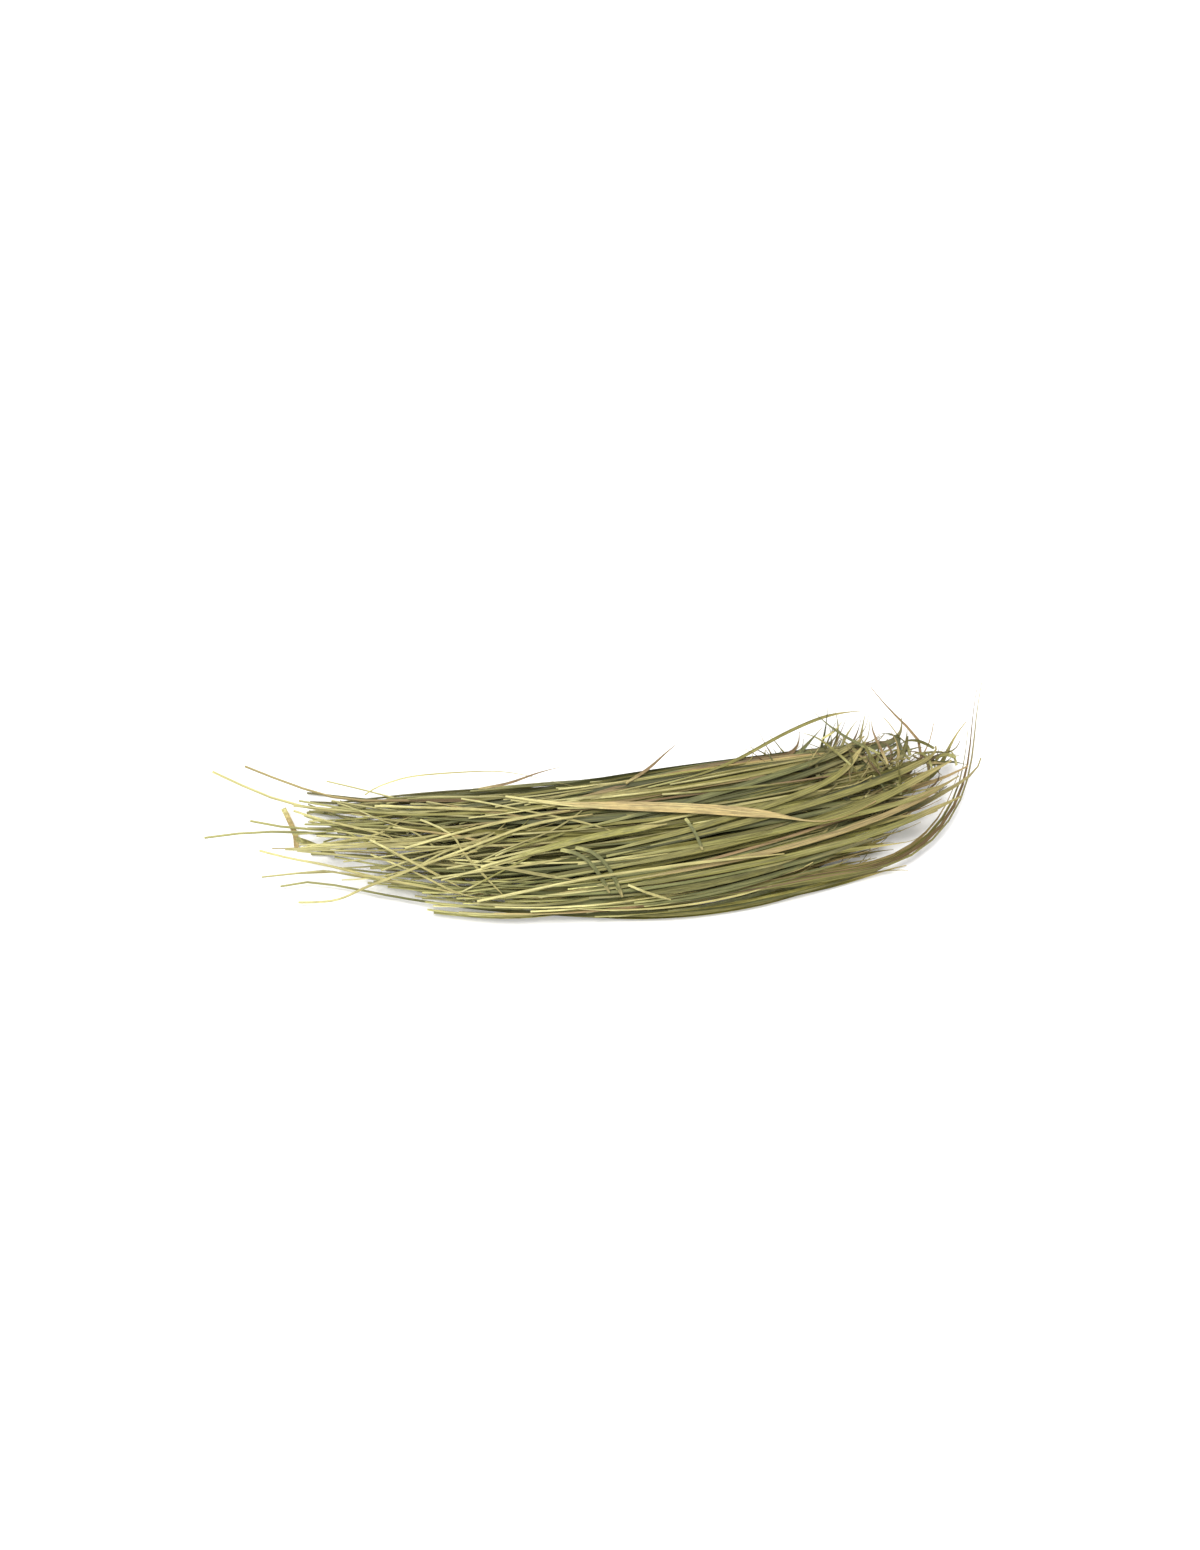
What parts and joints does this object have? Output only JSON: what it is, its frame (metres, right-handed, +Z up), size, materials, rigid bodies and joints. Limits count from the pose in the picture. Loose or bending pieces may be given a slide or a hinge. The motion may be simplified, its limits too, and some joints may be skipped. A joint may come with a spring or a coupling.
{
  "type": "dried sweetgrass bundle",
  "caption": "Loose untied bundle of dried sweetgrass lying in a slow arc: pale stems splayed at one end, broad olive blades in the middle, fine curled tips at the other.",
  "frame": {"origin": "on the surface the bundle lies on, under the centre of its bounding box", "axes": "+X along the bundle from the stem ends to the tips, +Y towards the hollow side of its arc, +Z up from the surface"},
  "size_m": [0.427, 0.1386, 0.0389],
  "materials": {
    "olive": "matte",
    "grey_green": "matte",
    "yellow_green": "matte",
    "straw": "matte",
    "tan": "matte",
    "brown": "matte"
  },
  "bodies": {
    "root": {"bottom_lock_1": "olive", "bottom_lock_2": "grey_green", "bottom_lock_3": "yellow_green", "bottom_lock_4": "olive", "bottom_lock_5": "grey_green", "bottom_lock_6": "olive", "bottom_lock_7": "grey_green", "bottom_lock_8": "yellow_green", "middle_lock_1": "yellow_green", "middle_lock_2": "olive", "middle_lock_3": "grey_green", "middle_lock_4": "olive", "middle_lock_5": "grey_green", "middle_lock_6": "yellow_green", "middle_lock_7": "olive", "middle_lock_8": "grey_green", "top_lock_1": "grey_green", "top_lock_2": "olive", "top_lock_3": "grey_green", "top_lock_4": "yellow_green", "top_lock_5": "olive", "top_lock_6": "grey_green", "top_lock_7": "olive", "top_lock_8": "grey_green", "outer_sweeping_blade": "olive", "right_hooked_blade": "grey_green", "right_gold_blade": "tan", "back_upright_tip": "brown", "front_low_blade": "grey_green", "back_curled_blade": "olive", "back_hooked_blade": "brown", "right_forked_tip": "olive", "broad_tan_blade": "tan", "bent_blade_right": "grey_green", "bent_blade_left": "grey_green", "short_cross_blade": "grey_green", "long_yellow_stem": "straw", "yellow_green_blade": "yellow_green", "crossing_stem_low": "straw", "crossing_stem_high": "straw", "back_straight_stem": "straw", "front_white_stem": "straw", "left_diagonal_stem": "straw", "left_rising_stem": "straw", "left_falling_stem": "straw", "folded_leaf": "brown", "back_stray_tip_1": "brown", "back_stray_tip_2": "brown", "back_thin_arc": "straw", "back_arching_blade": "olive", "curled_tip_1": "grey_green", "curled_tip_2": "olive", "curled_tip_3": "straw", "curled_tip_4": "brown"}
  },
  "joints": []
}
